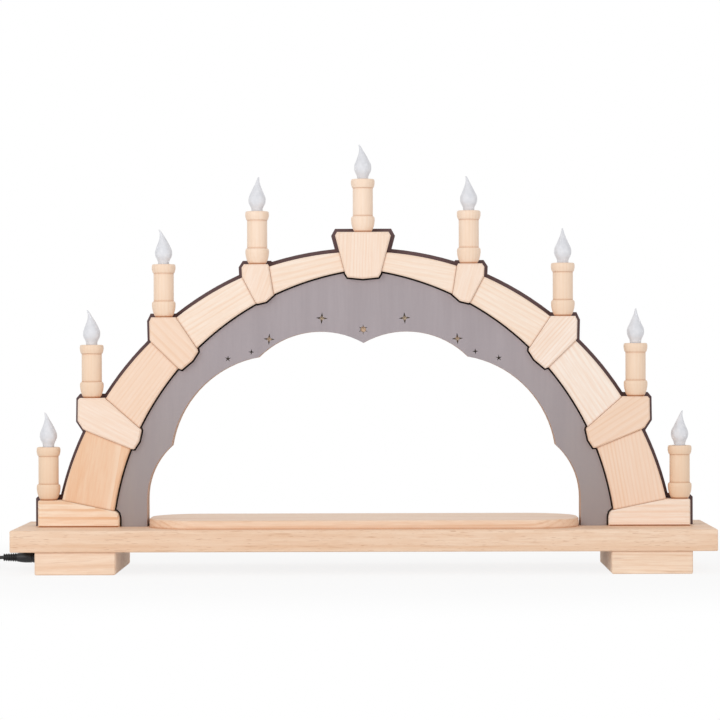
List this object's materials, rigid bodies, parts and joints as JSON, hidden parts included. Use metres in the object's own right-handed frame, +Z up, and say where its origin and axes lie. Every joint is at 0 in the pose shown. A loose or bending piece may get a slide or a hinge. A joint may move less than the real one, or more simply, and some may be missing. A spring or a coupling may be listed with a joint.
{
  "type": "candle arch",
  "caption": "Wooden candle arch on a board with two feet: round arch of stone-like blocks with seated candles, screw-in flame bulbs and a plug-in low-voltage lead.",
  "frame": {"origin": "on the floor, under the middle of the base board", "axes": "+X to the right along the board seen from the front, +Y from the front to the back, +Z up"},
  "size_m": [0.7516, 0.1942, 0.3995],
  "materials": {
    "pine_board": "planed pine, matt clear",
    "pine_stone": "sanded pine, matt clear",
    "turned_birch": "turned and sanded, matt clear",
    "grey_stained_plywood": "grey stain, matt",
    "brown_stained_plywood": "dark brown stain, matt",
    "natural_plywood": "laser-cut birch plywood, matt",
    "frosted_glass": "frosted white glass",
    "brass_cap": "plain rolled brass",
    "white_plastic": "moulded, glossy",
    "wire_insulation": "smooth cable sheath",
    "zinc_steel": "zinc plated",
    "black_plastic": "fine spark texture",
    "black_rubbery_plastic": "soft cable sheath, satin"
  },
  "bodies": {
    "arch": {"base_board": "pine_board", "platform": "pine_board", "foot_left": "pine_board", "foot_right": "pine_board", "front_panel": "grey_stained_plywood", "arch_core": "natural_plywood", "outline_panel": "brown_stained_plywood", "rear_ring": "natural_plywood", "keystone_centre": "pine_stone", "keystone_left_1": "pine_stone", "keystone_left_2": "pine_stone", "keystone_left_3": "pine_stone", "keystone_right_1": "pine_stone", "keystone_right_2": "pine_stone", "keystone_right_3": "pine_stone", "springer_left": "pine_stone", "springer_right": "pine_stone", "arch_stone_left_1": "pine_stone", "arch_stone_left_2": "pine_stone", "arch_stone_left_3": "pine_stone", "arch_stone_left_4": "pine_stone", "arch_stone_right_1": "pine_stone", "arch_stone_right_2": "pine_stone", "arch_stone_right_3": "pine_stone", "arch_stone_right_4": "pine_stone", "candle_sleeve_1": "turned_birch", "candle_sleeve_2": "turned_birch", "candle_sleeve_3": "turned_birch", "candle_sleeve_4": "turned_birch", "candle_sleeve_5": "turned_birch", "candle_sleeve_6": "turned_birch", "candle_sleeve_7": "turned_birch", "candle_sleeve_8": "turned_birch", "candle_sleeve_9": "turned_birch", "lamp_holders": "white_plastic", "wiring": "wire_insulation", "dc_jack": "black_plastic", "wood_screws": "zinc_steel"},
    "bulb_1_cap": {"screw_cap_1": "brass_cap"},
    "bulb_1_glass": {"flame_bulb_1": "frosted_glass"},
    "bulb_2_cap": {"screw_cap_2": "brass_cap"},
    "bulb_2_glass": {"flame_bulb_2": "frosted_glass"},
    "bulb_3_cap": {"screw_cap_3": "brass_cap"},
    "bulb_3_glass": {"flame_bulb_3": "frosted_glass"},
    "bulb_4_cap": {"screw_cap_4": "brass_cap"},
    "bulb_4_glass": {"flame_bulb_4": "frosted_glass"},
    "bulb_5_cap": {"screw_cap_5": "brass_cap"},
    "bulb_5_glass": {"flame_bulb_5": "frosted_glass"},
    "bulb_6_cap": {"screw_cap_6": "brass_cap"},
    "bulb_6_glass": {"flame_bulb_6": "frosted_glass"},
    "bulb_7_cap": {"screw_cap_7": "brass_cap"},
    "bulb_7_glass": {"flame_bulb_7": "frosted_glass"},
    "bulb_8_cap": {"screw_cap_8": "brass_cap"},
    "bulb_8_glass": {"flame_bulb_8": "frosted_glass"},
    "bulb_9_cap": {"screw_cap_9": "brass_cap"},
    "bulb_9_glass": {"flame_bulb_9": "frosted_glass"},
    "power_plug": {"dc_plug": "black_rubbery_plastic", "power_lead": "black_rubbery_plastic", "power_lead_coil": "black_rubbery_plastic", "mains_adapter": "black_plastic"}
  },
  "joints": [
    {"name": "bulb_1_lift", "type": "slide", "parent": "arch", "child": "bulb_1_cap", "axis": [0, 0, 1], "range_m": [0, 0.00726]},
    {"name": "bulb_1_unscrew", "type": "hinge", "parent": "bulb_1_cap", "child": "bulb_1_glass", "pos_m": [-0.29661, -0.0095, 0.1073], "axis": [0, 0, 1], "range_deg": [0, 1440]},
    {"name": "bulb_2_lift", "type": "slide", "parent": "arch", "child": "bulb_2_cap", "axis": [0, 0, 1], "range_m": [0, 0.00726]},
    {"name": "bulb_2_unscrew", "type": "hinge", "parent": "bulb_2_cap", "child": "bulb_2_glass", "pos_m": [-0.25557, -0.0095, 0.20335], "axis": [0, 0, 1], "range_deg": [0, 1440]},
    {"name": "bulb_3_lift", "type": "slide", "parent": "arch", "child": "bulb_3_cap", "axis": [0, 0, 1], "range_m": [0, 0.00726]},
    {"name": "bulb_3_unscrew", "type": "hinge", "parent": "bulb_3_cap", "child": "bulb_3_glass", "pos_m": [-0.18756, -0.0095, 0.27883], "axis": [0, 0, 1], "range_deg": [0, 1440]},
    {"name": "bulb_4_lift", "type": "slide", "parent": "arch", "child": "bulb_4_cap", "axis": [0, 0, 1], "range_m": [0, 0.00726]},
    {"name": "bulb_4_unscrew", "type": "hinge", "parent": "bulb_4_cap", "child": "bulb_4_glass", "pos_m": [-0.09945, -0.0095, 0.32829], "axis": [0, 0, 1], "range_deg": [0, 1440]},
    {"name": "bulb_5_lift", "type": "slide", "parent": "arch", "child": "bulb_5_cap", "axis": [0, 0, 1], "range_m": [0, 0.00726]},
    {"name": "bulb_5_unscrew", "type": "hinge", "parent": "bulb_5_cap", "child": "bulb_5_glass", "pos_m": [0, -0.0095, 0.35821], "axis": [0, 0, 1], "range_deg": [0, 1440]},
    {"name": "bulb_6_lift", "type": "slide", "parent": "arch", "child": "bulb_6_cap", "axis": [0, 0, 1], "range_m": [0, 0.00726]},
    {"name": "bulb_6_unscrew", "type": "hinge", "parent": "bulb_6_cap", "child": "bulb_6_glass", "pos_m": [0.09945, -0.0095, 0.32829], "axis": [0, 0, 1], "range_deg": [0, 1440]},
    {"name": "bulb_7_lift", "type": "slide", "parent": "arch", "child": "bulb_7_cap", "axis": [0, 0, 1], "range_m": [0, 0.00726]},
    {"name": "bulb_7_unscrew", "type": "hinge", "parent": "bulb_7_cap", "child": "bulb_7_glass", "pos_m": [0.18756, -0.0095, 0.27883], "axis": [0, 0, 1], "range_deg": [0, 1440]},
    {"name": "bulb_8_lift", "type": "slide", "parent": "arch", "child": "bulb_8_cap", "axis": [0, 0, 1], "range_m": [0, 0.00726]},
    {"name": "bulb_8_unscrew", "type": "hinge", "parent": "bulb_8_cap", "child": "bulb_8_glass", "pos_m": [0.25557, -0.0095, 0.20335], "axis": [0, 0, 1], "range_deg": [0, 1440]},
    {"name": "bulb_9_lift", "type": "slide", "parent": "arch", "child": "bulb_9_cap", "axis": [0, 0, 1], "range_m": [0, 0.00726]},
    {"name": "bulb_9_unscrew", "type": "hinge", "parent": "bulb_9_cap", "child": "bulb_9_glass", "pos_m": [0.29661, -0.0095, 0.1073], "axis": [0, 0, 1], "range_deg": [0, 1440]},
    {"name": "plug_pull", "type": "slide", "parent": "arch", "child": "power_plug", "axis": [-1, 0, 0], "range_m": [0, 0.012]}
  ],
  "couplings": [
    {"joint": "bulb_1_unscrew", "follows": "bulb_1_lift", "rad_per_m": 3463.7},
    {"joint": "bulb_2_unscrew", "follows": "bulb_2_lift", "rad_per_m": 3463.7},
    {"joint": "bulb_3_unscrew", "follows": "bulb_3_lift", "rad_per_m": 3463.7},
    {"joint": "bulb_4_unscrew", "follows": "bulb_4_lift", "rad_per_m": 3463.7},
    {"joint": "bulb_5_unscrew", "follows": "bulb_5_lift", "rad_per_m": 3463.7},
    {"joint": "bulb_6_unscrew", "follows": "bulb_6_lift", "rad_per_m": 3463.7},
    {"joint": "bulb_7_unscrew", "follows": "bulb_7_lift", "rad_per_m": 3463.7},
    {"joint": "bulb_8_unscrew", "follows": "bulb_8_lift", "rad_per_m": 3463.7},
    {"joint": "bulb_9_unscrew", "follows": "bulb_9_lift", "rad_per_m": 3463.7}
  ]
}
